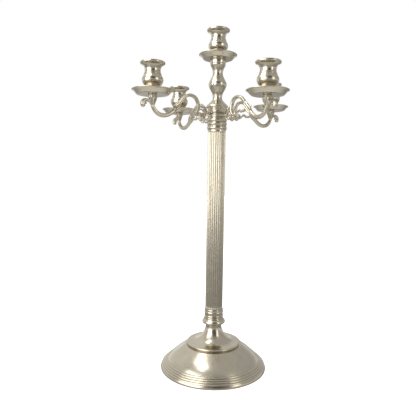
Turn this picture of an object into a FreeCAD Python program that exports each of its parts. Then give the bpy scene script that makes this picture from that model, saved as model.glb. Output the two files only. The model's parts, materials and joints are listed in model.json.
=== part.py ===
"""Tabletop candelabra: five candle cups on a fluted column.

A weighted round base carries a fluted column. Two identical scrolled castings, each with two arms, are
stacked crosswise on a tie rod between the column's upper collar and a baluster stem. Every arm and the
stem end in a drip pan and a candle cup. Millimetres, +Z up, origin at the centre of the underside.
"""
import FreeCAD, Part
import math
import os
import Sketcher

DOC = FreeCAD.newDocument("candelabra")
SHEET = DOC.addObject("Spreadsheet::Sheet", "dims")

DRIVING = {
    # base
    "base_radius": 104.6,
    "base_lip": 4.0,
    "ridge_radius": 90.3,
    "ridge_level": 17.5,
    "shoulder_radius": 56.3,
    "shoulder_level": 46.5,
    "disc_radius": 53.0,
    "disc_level": 52.2,
    "disc_edge": 3.2,
    "neck_radius": 15.7,
    "neck_level": 87.0,
    "shell_wall": 2.0,
    # ballast and its fixings
    "felt_thickness": 1.5,
    "ballast_radius": 87.0,
    "ballast_height": 9.0,
    "recess_radius": 13.0,
    "recess_depth": 7.0,
    "nut_width": 13.0,
    "nut_height": 5.0,
    "washer_radius": 10.0,
    "washer_height": 1.6,
    # column
    "foot_ring_radius": 22.9,
    "foot_ring_height": 11.5,
    "column_radius": 17.1,
    "column_wall": 2.2,
    "column_top": 474.0,
    "flute_count": 28.0,
    "flute_radius": 1.75,
    "flute_low": 120.0,
    "flute_high": 463.5,
    "lower_collar_radius": 18.6,
    "lower_collar_height": 19.5,
    "upper_collar_radius": 19.4,
    "upper_collar_low": 467.0,
    "upper_collar_high": 494.3,
    "spigot_length": 14.0,
    "fit_gap": 0.1,
    # tie rod
    "rod_radius": 4.0,
    "rod_hole": 4.3,
    "rod_low": 2.5,
    "rod_high": 532.0,
    # branches
    "branch_ring_radius": 17.6,
    "branch_ring_height": 3.8,
    "branch_pitch": 4.0,
    "branch_level": 496.5,
    "arm_radius": 140.6,
    "seat_height": 20.4,
    "dip_depth": 13.0,
    "dip_radius": 120.0,
    "arch_height": 29.0,
    "arch_radius": 60.0,
    "loop_radius": 40.5,
    "loop_level": 9.5,
    "outer_rib": 3.4,
    "inner_rib": 2.6,
    "scroll_rib": 2.3,
    "root_width": 7.0,
    # stem, pans and cups
    "spacer_radius": 18.4,
    "spacer_height": 5.8,
    "stem_level": 508.4,
    "pan_level": 604.0,
    "pan_radius": 36.4,
    "pan_floor": 28.2,
    "pan_height": 8.4,
    "pan_wall": 1.4,
    "cup_height": 54.6,
    "cup_rim": 21.8,
    "cup_bulge": 18.8,
    "cup_waist": 13.7,
    "candle_radius": 11.5,
    "candle_depth": 25.0,
    "candle_mouth": 47.0,
    "screw_radius": 2.5,
    "screw_hole": 2.7,
    "screw_head": 4.5,
    "screw_head_height": 3.0,
}


class Size:
    """A number together with the sheet expression that gives it."""

    def __init__(self, value, text=None):
        self.value = float(value)
        self.text = text if text else f"{self.value:.6g}"

    def __add__(self, other):
        other = as_size(other)
        return Size(self.value + other.value, f"({self.text} + {other.text})")

    def __sub__(self, other):
        other = as_size(other)
        return Size(self.value - other.value, f"({self.text} - {other.text})")

    def __mul__(self, other):
        other = as_size(other)
        return Size(self.value * other.value, f"({self.text} * {other.text})")


def as_size(item):
    return item if isinstance(item, Size) else Size(item)


class Dims:
    """The sheet's cells by alias."""


def fill_sheet():
    dims = Dims()
    for row, (alias, value) in enumerate(DRIVING.items(), start=1):
        SHEET.set(f"A{row}", alias)
        SHEET.set(f"B{row}", f"{value:g}")
        SHEET.setAlias(f"B{row}", alias)
        setattr(dims, alias, Size(value, f"dims.{alias}"))
    DOC.recompute()
    return dims


d = fill_sheet()
BODIES = []


# ---------------------------------------------------------------- sketch helpers
def new_body(name):
    body = DOC.addObject("PartDesign::Body", name)
    body.Label = name
    BODIES.append(body)
    return body


def place(body, level=0.0, x=0.0, y=0.0, turn=0.0):
    """Stand a body at a height and a plan position, turned about Z by an angle in degrees."""
    level, x, y = as_size(level), as_size(x), as_size(y)
    spot = FreeCAD.Vector(x.value, y.value, level.value)
    body.Placement = FreeCAD.Placement(spot, FreeCAD.Rotation(FreeCAD.Vector(0, 0, 1), turn))
    for axis, size in (("x", x), ("y", y), ("z", level)):
        if size.text.startswith(("dims", "(")):
            body.setExpression(f"Placement.Base.{axis}", size.text)


def origin_item(body, role):
    return next(item for item in body.Origin.OriginFeatures if item.Role == role)


def new_sketch(body, name, plane="XZ_Plane", offset=0.0):
    sketch = body.newObject("Sketcher::SketchObject", name)
    sketch.AttachmentSupport = (origin_item(body, plane), [""])
    sketch.MapMode = "FlatFace"
    offset = as_size(offset)
    sketch.AttachmentOffset = FreeCAD.Placement(FreeCAD.Vector(0, 0, offset.value), FreeCAD.Rotation())
    if offset.text.startswith(("dims", "(")):
        sketch.setExpression("AttachmentOffset.Base.z", offset.text)
    return sketch


def bind(sketch, constraint, size):
    index = sketch.addConstraint(constraint)
    if size.text.startswith(("dims", "(")):
        sketch.setExpression(f"Constraints[{index}]", size.text)


def pin_point(sketch, edge, end, r, z):
    bind(sketch, Sketcher.Constraint("DistanceX", -1, 1, edge, end, r.value), r)
    bind(sketch, Sketcher.Constraint("DistanceY", -1, 1, edge, end, z.value), z)


def draw(sketch, start, steps, closed=True):
    """Draw an outline. A step is (r, z) for a line or (r, z, sagitta) for an arc.

    The sagitta is the height of the arc over its chord, positive to the left of the way drawn. A closed
    outline that doesn't end at its start gets a straight line back to it.
    """
    back = (as_size(start[0]).value, as_size(start[1]).value)
    arrived = (as_size(steps[-1][0]).value, as_size(steps[-1][1]).value)
    if closed and math.dist(back, arrived) > 1e-6:
        steps = steps + [start]
    corners = [(as_size(start[0]), as_size(start[1]))]
    corners += [(as_size(step[0]), as_size(step[1])) for step in steps]
    ends = []
    for number, step in enumerate(steps):
        (r0, z0), (r1, z1) = corners[number], corners[number + 1]
        first = FreeCAD.Vector(r0.value, z0.value, 0)
        last = FreeCAD.Vector(r1.value, z1.value, 0)
        if len(step) == 2:
            edge = sketch.addGeometry(Part.LineSegment(first, last))
            ends.append((edge, 1, 2))
            continue
        chord = last - first
        left = FreeCAD.Vector(-chord.y, chord.x, 0).normalize()
        middle = (first + last) * 0.5 + left * step[2]
        edge = sketch.addGeometry(Part.Arc(first, middle, last))
        radius = (chord.Length ** 2 / 4 + step[2] ** 2) / (2 * abs(step[2]))
        sketch.addConstraint(Sketcher.Constraint("Radius", edge, radius))
        ends.append((edge, 1, 2) if step[2] < 0 else (edge, 2, 1))
    for number, (edge, begin, finish) in enumerate(ends):
        last_one = number == len(ends) - 1
        if not last_one or closed:
            after = ends[(number + 1) % len(ends)]
            sketch.addConstraint(Sketcher.Constraint("Coincident", edge, finish, after[0], after[1]))
        pin_point(sketch, edge, begin, *corners[number])
        if last_one and not closed:
            pin_point(sketch, edge, finish, *corners[-1])
    return sketch


def circle(sketch, radius, x=0.0, y=0.0):
    radius, x, y = as_size(radius), as_size(x), as_size(y)
    middle = FreeCAD.Vector(x.value, y.value, 0)
    edge = sketch.addGeometry(Part.Circle(middle, FreeCAD.Vector(0, 0, 1), radius.value))
    bind(sketch, Sketcher.Constraint("Radius", edge, radius.value), radius)
    if x.value == 0 and y.value == 0:
        sketch.addConstraint(Sketcher.Constraint("Coincident", edge, 3, -1, 1))
    else:
        pin_point(sketch, edge, 3, x, y)


def turn_about_axis(body, sketch, name):
    """Revolve a sketch about the body's own Z axis."""
    feature = body.newObject("PartDesign::Revolution", name)
    feature.Profile = sketch
    feature.ReferenceAxis = (sketch, ["V_Axis"])
    feature.Angle = 360.0
    sketch.Visibility = False
    return feature


def turned(name, start, steps, level=0.0, x=0.0, y=0.0):
    """A turned piece whose half section is drawn in r and z, seated at a level."""
    body = new_body(name)
    sketch = draw(new_sketch(body, f"{name}_section"), start, steps)
    turn_about_axis(body, sketch, f"{name}_turning")
    place(body, level, x, y)
    return body


def padded(body, sketch, name, length, midplane=False):
    feature = body.newObject("PartDesign::Pad", name)
    feature.Profile = sketch
    length = as_size(length)
    feature.Length = length.value
    if length.text.startswith(("dims", "(")):
        feature.setExpression("Length", length.text)
    feature.SideType = "Symmetric" if midplane else "One side"
    sketch.Visibility = False
    return feature


def piped(body, name, path, section):
    feature = body.newObject("PartDesign::AdditivePipe", name)
    feature.Profile = section
    feature.Spine = (path, [])
    feature.Mode = "Standard"
    path.Visibility = False
    section.Visibility = False
    return feature


# ---------------------------------------------------------------- base
def make_base_skirt():
    """Spun lower shell: a sloping dome with four small ridges and a plain rounded rim."""
    wall = d.shell_wall
    reeds = 4
    first = (d.ridge_radius.value, d.ridge_level.value)
    last = (d.base_radius.value - 1.6, d.base_lip.value + 2.4)
    bead = 0.9
    run = (last[0] - first[0], last[1] - first[1])
    steps = [(d.shoulder_radius - 1.0, d.shoulder_level),
             (d.shoulder_radius, d.shoulder_level - 1.0, 0.3),
             (d.ridge_radius, d.ridge_level, 1.0)]
    for count in range(1, reeds + 1):
        across = count / reeds
        steps.append((first[0] + run[0] * across, first[1] + run[1] * across, bead))
    steps += [(d.base_radius, d.base_lip, 0.5),
              (d.base_radius, 0.0),
              (d.base_radius - wall, 0.0),
              (d.base_radius - wall, d.base_lip - 1.0),
              (d.ridge_radius - wall, d.ridge_level - 2.6),
              (d.shoulder_radius - 1.8, d.shoulder_level - 2.6, -0.8),
              (d.shoulder_radius - 2.6, d.shoulder_level - wall),
              (42.0, d.shoulder_level - wall)]
    turned("base_skirt", (42.0, d.shoulder_level), steps)


def make_base_cap():
    """Spun upper shell: a step disc that sweeps up into the neck under the column."""
    wall = d.shell_wall
    under = d.disc_level - d.disc_edge
    steps = [(d.neck_radius, d.neck_level),
             (d.neck_radius, d.neck_level - 3.5),
             (18.9, d.disc_level + 19.6, -0.5),
             (38.8, d.disc_level + 0.6, -4.6),
             (d.disc_radius - 1.2, d.disc_level, -0.3),
             (d.disc_radius - 1.2, under, 1.2),
             (d.disc_radius - 2.4, under),
             (d.disc_radius - 2.4, d.shoulder_level),
             (d.disc_radius - 5.0, d.shoulder_level),
             (d.disc_radius - 5.0, d.disc_level - wall),
             (37.8, d.disc_level - 1.6),
             (17.1, d.disc_level + 17.6, 4.4),
             (d.neck_radius - wall, d.neck_level - 6.0, 0.5),
             (d.neck_radius - wall, d.neck_level - 3.0),
             (d.rod_hole, d.neck_level - 3.0)]
    turned("base_cap", (d.rod_hole, d.neck_level), steps)


def make_ballast():
    """Cast iron disc that weights the base, with a ring wall that carries both shells."""
    low = d.felt_thickness
    top = low + d.ballast_height
    seat = d.shoulder_level - d.shell_wall
    steps = [(d.rod_hole, top),
             (40.0, top),
             (40.0, seat),
             (47.0, seat),
             (47.0, top),
             (d.ballast_radius - 2.0, top),
             (d.ballast_radius, top - 2.0),
             (d.ballast_radius, low),
             (d.recess_radius, low),
             (d.recess_radius, low + d.recess_depth)]
    turned("base_ballast", (d.rod_hole, low + d.recess_depth), steps)

    felt = new_body("base_felt")
    sketch = new_sketch(felt, "felt_outline", "XY_Plane")
    circle(sketch, d.base_radius - d.shell_wall - 2.0)
    padded(felt, sketch, "felt_pad", d.felt_thickness)


def make_base_fixings():
    """Washer and hexagon nut under the ballast."""
    washer_level = d.felt_thickness + d.recess_depth - d.washer_height
    washer = new_body("base_washer")
    sketch = new_sketch(washer, "washer_outline", "XY_Plane")
    circle(sketch, d.washer_radius)
    circle(sketch, d.rod_hole)
    padded(washer, sketch, "washer_pad", d.washer_height)
    place(washer, washer_level)

    nut = new_body("base_nut")
    sketch = new_sketch(nut, "nut_outline", "XY_Plane")
    corner = d.nut_width.value / math.sqrt(3)
    sixth = math.radians(60)
    spots = [FreeCAD.Vector(corner * math.cos(sixth * k), corner * math.sin(sixth * k), 0) for k in range(6)]
    for count in range(6):
        sketch.addGeometry(Part.LineSegment(spots[count], spots[(count + 1) % 6]))
    for count in range(6):
        sketch.addConstraint(Sketcher.Constraint("Coincident", count, 2, (count + 1) % 6, 1))
    for count in range(5):
        sketch.addConstraint(Sketcher.Constraint("Equal", count, count + 1))
    ring = sketch.addGeometry(Part.Circle(FreeCAD.Vector(0, 0, 0), FreeCAD.Vector(0, 0, 1), corner), True)
    sketch.addConstraint(Sketcher.Constraint("Coincident", ring, 3, -1, 1))
    for count in range(6):
        sketch.addConstraint(Sketcher.Constraint("PointOnObject", count, 1, ring))
    sketch.addConstraint(Sketcher.Constraint("PointOnObject", 0, 1, -1))
    across = Size(corner, "dims.nut_width / sqrt(3)")
    index = sketch.addConstraint(Sketcher.Constraint("Radius", ring, across.value))
    sketch.setExpression(f"Constraints[{index}]", across.text)
    circle(sketch, d.rod_radius)
    padded(nut, sketch, "nut_pad", d.nut_height)
    place(nut, washer_level - d.nut_height)


# ---------------------------------------------------------------- column
def make_foot_ring():
    """Turned ring with a rounded edge between the base and the column."""
    edge = d.foot_ring_radius
    steps = [(d.rod_hole, d.foot_ring_height),
             (edge - 3.2, d.foot_ring_height),
             (edge - 2.6, d.foot_ring_height - 1.6, -0.3),
             (edge - 3.4, 0.8, 3.0),
             (d.neck_radius + 0.6, 0.0, -0.5)]
    turned("foot_ring", (d.rod_hole, 0.0), steps, level=d.neck_level)


def make_column():
    """Fluted tube between the two collars. Each flute is a round-ended groove."""
    low = d.neck_level + d.foot_ring_height
    body = new_body("column_tube")
    sketch = new_sketch(body, "tube_section", "XY_Plane")
    circle(sketch, d.column_radius)
    circle(sketch, d.column_radius - d.column_wall)
    tube = padded(body, sketch, "tube_pad", d.column_top - low)
    place(body, low)
    DOC.recompute()
    plain = tube.Shape.Volume

    axis = d.column_radius + 0.75
    flute = new_sketch(body, "flute_section")
    bottom = d.flute_low - low
    top = d.flute_high - low
    bulge = d.flute_radius.value * (1 - math.sqrt(0.5))
    steps = [(axis, top),
             (axis - d.flute_radius, top - d.flute_radius, bulge),
             (axis - d.flute_radius, bottom + d.flute_radius),
             (axis, bottom, bulge)]
    draw(flute, (axis, bottom), steps)
    cut = body.newObject("PartDesign::Groove", "flute_cut")
    cut.Profile = flute
    cut.ReferenceAxis = (flute, ["Edge1"])
    cut.Angle = 360.0
    flute.Visibility = False
    DOC.recompute()
    if cut.Shape.Volume > plain - 1.0:
        raise RuntimeError("the flute cuts nothing")
    ring = body.newObject("PartDesign::PolarPattern", "flutes")
    ring.Originals = [cut]
    ring.Axis = (origin_item(body, "Z_Axis"), [""])
    ring.Angle = 360.0
    ring.Occurrences = int(d.flute_count.value)
    ring.setExpression("Occurrences", d.flute_count.text)
    body.Tip = ring


def make_collars():
    """Sleeve at the foot of the column and reeded collar with a spigot at its top."""
    bore = d.column_radius + d.fit_gap
    edge = d.lower_collar_radius
    steps = [(edge + 0.5, 0.0),
             (edge + 0.5, 4.4),
             (edge, 5.2),
             (edge, 9.8),
             (edge - 0.5, 10.5),
             (edge, 11.2),
             (edge, d.lower_collar_height - 1.4),
             (bore + 0.5, d.lower_collar_height, -0.3),
             (bore, d.lower_collar_height)]
    turned("lower_collar", (bore, 0.0), steps, level=d.neck_level + d.foot_ring_height)

    spigot = d.column_radius - d.column_wall - d.fit_gap
    edge = d.upper_collar_radius
    groove = edge - 1.5
    tube_end = d.column_top - d.upper_collar_low
    height = d.upper_collar_high - d.upper_collar_low
    steps = [(d.rod_hole, height),
             (edge - 1.1, height),
             (edge - 1.1, height - 1.6),
             (groove, height - 3.0, -0.5),
             (groove, height - 5.4),
             (groove, height - 11.2, 1.4),
             (groove, height - 12.2),
             (groove, height - 18.0, 1.4),
             (groove, height - 19.0),
             (groove, height - 25.2, 1.4),
             (groove, 0.0),
             (bore, 0.0),
             (bore, tube_end),
             (spigot, tube_end),
             (spigot, tube_end - d.spigot_length)]
    turned("upper_collar", (d.rod_hole, tube_end - d.spigot_length), steps, level=d.upper_collar_low)


def make_tie_rod():
    rod = new_body("tie_rod")
    sketch = new_sketch(rod, "rod_outline", "XY_Plane")
    circle(sketch, d.rod_radius)
    padded(rod, sketch, "rod_pad", d.rod_high - d.rod_low)
    place(rod, d.rod_low)


# ---------------------------------------------------------------- branches
def tangent_line(centre_a, radius_a, centre_b, radius_b):
    """End points of the line that leaves one circle's top right and enters the other's bottom left."""
    gap_x = centre_b[0] - centre_a[0]
    gap_z = centre_b[1] - centre_a[1]
    angle = math.atan2(gap_z, gap_x) + math.acos((radius_a + radius_b) / math.hypot(gap_x, gap_z))
    first = (centre_a[0] + radius_a * math.cos(angle), centre_a[1] + radius_a * math.sin(angle))
    last = (centre_b[0] - radius_b * math.cos(angle), centre_b[1] - radius_b * math.sin(angle))
    return first, last


def sagitta(first, last, radius):
    half = math.hypot(last[0] - first[0], last[1] - first[1]) / 2
    return radius - math.sqrt(radius ** 2 - half ** 2)


def between(first, last, share):
    return (first[0] + (last[0] - first[0]) * share, first[1] + (last[1] - first[1]) * share)


def make_branch(name, level, turn):
    """Double casting: a centre ring and two opposite scrolled arms with sockets for the pans."""
    body = new_body(name)
    ring_sketch = new_sketch(body, f"{name}_ring_outline", "XY_Plane")
    circle(ring_sketch, d.branch_ring_radius)
    circle(ring_sketch, d.rod_hole)
    padded(body, ring_sketch, f"{name}_ring", d.branch_ring_height, midplane=True)

    # root web and leaf between the ring and the scroll
    half = d.branch_ring_height * 0.5
    web = new_sketch(body, f"{name}_root_outline")
    steps = [(14.0, half),
             (24.0, half),
             (27.5, 11.0, -1.2),
             (33.0, 13.6, 1.0),
             (d.loop_radius, 12.0, 0.8),
             (d.loop_radius, -3.0),
             (33.0, -5.4, -1.0),
             (24.0, half * -1.0, -1.0)]
    draw(web, (14.0, half * -1.0), steps)
    features = [padded(body, web, f"{name}_root", d.root_width, midplane=True)]

    # the S scroll: arch over the loop, a straight fall, the dip and the rise to the socket
    tail = d.arm_radius.value - d.dip_radius.value
    rise = 8.0
    low_point = (d.dip_radius.value, -d.dip_depth.value)
    dip_bend = 27.5
    arch_bend = 30.5
    top = (d.arch_radius.value, d.arch_height.value)
    dip_centre = (low_point[0], low_point[1] + dip_bend)
    arch_centre = (top[0], top[1] - arch_bend)
    fall_top, fall_low = tangent_line(arch_centre, arch_bend, dip_centre, dip_bend)
    join_low = between(fall_low, fall_top, 0.45)
    join_top = between(fall_top, fall_low, 0.70)

    outer = new_sketch(body, f"{name}_outer_path")
    bend_end = (d.arm_radius.value, low_point[1] + tail)
    steps = [(d.arm_radius, bend_end[1]),
             (d.dip_radius, d.dip_depth * -1.0, sagitta(bend_end, low_point, tail)),
             (fall_low[0], fall_low[1], sagitta(low_point, fall_low, dip_bend)),
             (join_low[0], join_low[1])]
    draw(outer, (d.arm_radius, rise + 1.0), steps, closed=False)
    section = new_sketch(body, f"{name}_outer_section", "XY_Plane", rise + 1.0)
    circle(section, d.outer_rib, d.arm_radius)
    features.append(piped(body, f"{name}_outer_rib", outer, section))

    inner = new_sketch(body, f"{name}_inner_path")
    left = (d.loop_radius.value, d.loop_level.value)
    steps = [(d.arch_radius, d.arch_height, sagitta(left, top, d.arch_radius.value - left[0])),
             (fall_top[0], fall_top[1], sagitta(top, fall_top, arch_bend)),
             (join_top[0], join_top[1])]
    draw(inner, (d.loop_radius, d.loop_level), steps, closed=False)
    section = new_sketch(body, f"{name}_inner_section", "XY_Plane", d.loop_level)
    circle(section, d.inner_rib, d.loop_radius)
    features.append(piped(body, f"{name}_inner_rib", inner, section))

    # the loop's foot and the low scroll that returns to the S scroll
    foot_bend = 8.5
    foot_level = 5.0
    foot = (d.loop_radius.value + foot_bend, foot_level - foot_bend)
    lean = math.radians(35)
    shift = (math.sin(lean), 1 - math.cos(lean))
    foot_end = (foot[0] + foot_bend * shift[0], foot[1] + foot_bend * shift[1])
    scroll_bend = 16.0
    scroll_top = (foot_end[0] + scroll_bend * shift[0], foot_end[1] + scroll_bend * shift[1])
    scroll = new_sketch(body, f"{name}_scroll_path")
    steps = [(d.loop_radius, foot_level),
             (foot[0], foot[1], -sagitta((left[0], foot_level), foot, foot_bend)),
             (foot_end[0], foot_end[1], -sagitta(foot, foot_end, foot_bend)),
             (scroll_top[0], scroll_top[1], sagitta(foot_end, scroll_top, scroll_bend)),
             (76.0, scroll_top[1]),
             (93.0, scroll_top[1] + 3.0, -sagitta((76.0, 0.0), (93.0, 3.0), 49.7))]
    draw(scroll, (d.loop_radius, d.loop_level + 0.5), steps, closed=False)
    section = new_sketch(body, f"{name}_scroll_section", "XY_Plane", d.loop_level + 0.5)
    circle(section, d.scroll_rib, d.loop_radius)
    features.append(piped(body, f"{name}_scroll", scroll, section))

    # leaf where the scrolls meet
    leaf = new_sketch(body, f"{name}_leaf_outline")
    draw(leaf, (86.0, 5.0), [(92.0, 11.0, 0.8), (100.5, 6.5, 0.8), (95.0, -1.0, 0.8), (86.0, 5.0, 0.8)])
    features.append(padded(body, leaf, f"{name}_leaf", d.root_width + 1.0, midplane=True))

    # tulip socket with the pan's screw hole
    cup_edge = 8.4
    socket = new_sketch(body, f"{name}_socket_section")
    steps = [(d.arm_radius, rise - 1.0),
             (d.arm_radius + 2.1, rise - 1.0),
             (d.arm_radius + 2.1, d.seat_height),
             (d.arm_radius + cup_edge, d.seat_height),
             (d.arm_radius + cup_edge, d.seat_height - 2.4),
             (d.arm_radius + cup_edge - 1.2, d.seat_height - 3.2),
             (d.arm_radius + 3.9, 3.0, 1.0)]
    draw(socket, (d.arm_radius, 3.0), steps)
    feature = body.newObject("PartDesign::Revolution", f"{name}_socket")
    feature.Profile = socket
    feature.ReferenceAxis = (socket, ["Edge1"])
    feature.Angle = 360.0
    socket.Visibility = False
    features.append(feature)

    # leaf finial that curls outward and ends in a knob
    curl_start = 143.5
    curl_level = 9.5
    curl_bend = 9.0
    curl_run = 152.5
    path = new_sketch(body, f"{name}_curl_path")
    steps = [(curl_run, curl_level),
             (curl_run + curl_bend, curl_level - curl_bend, curl_bend * (1 - math.sqrt(0.5)))]
    draw(path, (curl_start, curl_level), steps, closed=False)
    section = new_sketch(body, f"{name}_curl_section", "YZ_Plane", curl_start)
    circle(section, 2.3, 0.0, curl_level)
    features.append(piped(body, f"{name}_curl", path, section))
    knob = body.newObject("PartDesign::AdditiveSphere", f"{name}_knob")
    knob.Radius = 3.6
    knob.AttachmentSupport = (origin_item(body, "XY_Plane"), [""])
    knob.MapMode = "FlatFace"
    knob_centre = FreeCAD.Vector(curl_run + curl_bend, 0, 0.6)
    knob.AttachmentOffset = FreeCAD.Placement(knob_centre, FreeCAD.Rotation())
    features.append(knob)
    DOC.recompute()

    pair = body.newObject("PartDesign::PolarPattern", f"{name}_pair")
    pair.Originals = features
    pair.Axis = (origin_item(body, "Z_Axis"), [""])
    pair.Angle = 360.0
    pair.Occurrences = 2
    body.Tip = pair
    place(body, level, turn=turn)


# ---------------------------------------------------------------- stem, pans and cups
def make_stem():
    """Spacer ring, and the solid baluster that clamps the branches and carries the centre pan."""
    edge = d.spacer_radius
    height = d.spacer_height
    steps = [(d.rod_hole, height),
             (edge - 0.8, height),
             (edge, height - 1.0, 0.3),
             (edge - 0.7, height * 0.5, -0.2),
             (edge, 1.0, -0.2),
             (edge - 0.8, 0.0, 0.3)]
    turned("stem_spacer", (d.rod_hole, 0.0), steps, level=d.stem_level - d.spacer_height)

    # half section from the tapped top down: shank, waist, bulb, waist, skirt and lip
    thread = d.rod_high - d.stem_level + 3.0
    top = d.pan_level - d.stem_level
    tap = 2.3
    steps = [(d.rod_hole, thread),
             (tap, thread + 1.5),
             (tap, top),
             (15.4, top),
             (15.4, top - 9.0),
             (14.4, top - 13.0, 0.5),
             (9.6, top - 26.4, -0.9),
             (13.6, top - 37.7, -0.8),
             (17.4, top - 47.6, 0.5),
             (13.3, top - 59.3, 0.6),
             (9.0, top - 72.2, -0.9),
             (14.2, top - 81.8, -1.3),
             (21.6, top - 90.4, 0.6),
             (21.6, top - 92.2),
             (d.spacer_radius, top - 93.4),
             (d.spacer_radius, 0.0)]
    turned("stem", (d.rod_hole, 0.0), steps, level=d.stem_level)


def make_candle_holder(name, level, x=0.0, y=0.0, screw_length=24.0):
    """Drip pan, candle cup and the screw that holds both."""
    wall = d.pan_wall
    steps = [(d.pan_floor, 0.0),
             (d.pan_radius - 2.4, d.pan_height - 1.7, -0.2),
             (d.pan_radius, d.pan_height - 1.0, -0.2),
             (d.pan_radius, d.pan_height - 0.1, -0.3),
             (d.pan_radius - 3.0, d.pan_height - 0.5, 0.2),
             (d.pan_floor - 0.5, wall, 0.2),
             (d.screw_hole, wall)]
    turned(f"{name}_pan", (d.screw_hole, 0.0), steps, level, x, y)

    height = d.cup_height
    bottom = d.candle_mouth - d.candle_depth
    steps = [(12.0, 0.0),
             (12.0, 1.8, -0.3),
             (9.6, 3.6, 0.4),
             (11.2, 9.0, 0.5),
             (d.cup_bulge, 23.1, -1.4),
             (16.0, 30.9, -0.7),
             (15.2, 33.4),
             (15.2, 34.8),
             (d.cup_waist, 39.6, 0.2),
             (16.4, height - 7.0, 0.6),
             (d.cup_rim, height - 2.4, 0.8),
             (d.cup_rim, height, -0.3),
             (d.cup_rim - 1.6, height),
             (d.candle_radius, d.candle_mouth, -1.2),
             (d.candle_radius, bottom),
             (d.screw_head + 0.3, bottom),
             (d.screw_head + 0.3, bottom - d.screw_head_height),
             (d.screw_hole, bottom - d.screw_head_height)]
    turned(f"{name}_cup", (d.screw_hole, 0.0), steps, level + wall, x, y)

    shank = Size(screw_length)
    thread = 2.1
    socket = 1.3
    steps = [(thread, 0.0),
             (thread, screw_length - 19.0),
             (d.screw_radius, screw_length - 18.6),
             (d.screw_radius, shank),
             (d.screw_head, shank),
             (d.screw_head, shank + 2.2),
             (d.screw_head - 1.0, shank + d.screw_head_height, -0.4),
             (socket, shank + d.screw_head_height),
             (socket, shank + 1.2),
             (0.0, shank + 1.2)]
    body = new_body(f"{name}_screw")
    sketch = new_sketch(body, f"{name}_screw_section")
    draw(sketch, (0.0, 0.0), steps)
    turn_about_axis(body, sketch, f"{name}_screw_turning")
    place(body, level + wall + bottom - d.screw_head_height - screw_length, x, y)


# ---------------------------------------------------------------- assembly
def build():
    make_base_skirt()
    make_base_cap()
    make_ballast()
    make_base_fixings()
    make_foot_ring()
    make_column()
    make_collars()
    make_tie_rod()
    make_branch("lower_branch", d.branch_level, 90.0)
    make_branch("upper_branch", d.branch_level + d.branch_pitch, 0.0)
    make_stem()
    make_candle_holder("center", d.pan_level)
    seat = d.branch_level + d.seat_height
    make_candle_holder("left", seat + d.branch_pitch, x=d.arm_radius * -1.0)
    make_candle_holder("right", seat + d.branch_pitch, x=d.arm_radius)
    make_candle_holder("front", seat, y=d.arm_radius * -1.0)
    make_candle_holder("back", seat, y=d.arm_radius)
    DOC.recompute()


def check_and_write():
    broken = [item.Label for item in DOC.Objects if "Invalid" in item.State or "Error" in item.State]
    if broken:
        raise RuntimeError(f"these objects failed: {broken}")
    os.makedirs("parts", exist_ok=True)
    for body in BODIES:
        shape = body.Shape
        if shape.isNull() or not shape.isValid() or len(shape.Solids) != 1:
            raise RuntimeError(f"{body.Label} is not one valid solid")
        shape.exportStep(f"parts/{body.Label}.step")
        box = shape.BoundBox
        print(f"{body.Label}: {shape.Volume / 1000:.2f} cm3, z {box.ZMin:.2f} to {box.ZMax:.2f}")


build()
check_and_write()
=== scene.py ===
"""Looks of the tabletop candelabra: satin nickel plate, lightly tarnished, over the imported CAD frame.

Outlines are in mm as (radius, height) and follow the boxes of the CAD nodes that they replace.
"""
import json
import math

import bmesh
import bpy
import numpy as np
from mathutils import Matrix, Vector


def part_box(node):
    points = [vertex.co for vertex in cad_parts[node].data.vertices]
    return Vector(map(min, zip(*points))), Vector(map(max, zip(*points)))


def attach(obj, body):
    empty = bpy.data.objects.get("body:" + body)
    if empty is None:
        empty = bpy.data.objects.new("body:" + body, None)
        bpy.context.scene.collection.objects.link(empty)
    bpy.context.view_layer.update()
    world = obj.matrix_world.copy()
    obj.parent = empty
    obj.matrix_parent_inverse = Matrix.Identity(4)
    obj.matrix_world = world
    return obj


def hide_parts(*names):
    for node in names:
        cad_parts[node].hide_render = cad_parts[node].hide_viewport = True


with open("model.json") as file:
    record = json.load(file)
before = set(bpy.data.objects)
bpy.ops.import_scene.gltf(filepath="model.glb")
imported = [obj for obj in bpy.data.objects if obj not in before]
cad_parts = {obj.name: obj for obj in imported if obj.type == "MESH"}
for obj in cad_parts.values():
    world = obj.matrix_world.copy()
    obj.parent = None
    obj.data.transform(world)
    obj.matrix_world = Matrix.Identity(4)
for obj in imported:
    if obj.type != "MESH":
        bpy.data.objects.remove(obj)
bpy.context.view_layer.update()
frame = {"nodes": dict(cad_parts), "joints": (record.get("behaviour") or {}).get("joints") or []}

MM = 0.001

# ---------------------------------------------------------------- places read from the frame


def level(node, top=False):
    """Height of a node's lowest or highest point, in mm."""
    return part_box(node)[1 if top else 0][2] / MM


def outer_radius(node):
    """Largest radius of a node that is turned about the column's axis, in mm."""
    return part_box(node)[1][0] / MM


def centre_xy(node):
    """Middle of a node seen from above, in mm."""
    low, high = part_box(node)
    return (low[0] + high[0]) / 2 / MM, (low[1] + high[1]) / 2 / MM


ARM = centre_xy("right_pan")[0]         # from the column's axis to a socket's axis, in mm
RING_LEVEL = {joint["child"].replace("arms", "branch"): joint["pos_m"][2] / MM for joint in frame["joints"]}
HOLDERS = {"center": "stand", "front": "lower_arms", "back": "lower_arms",
           "left": "upper_arms", "right": "upper_arms"}

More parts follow.
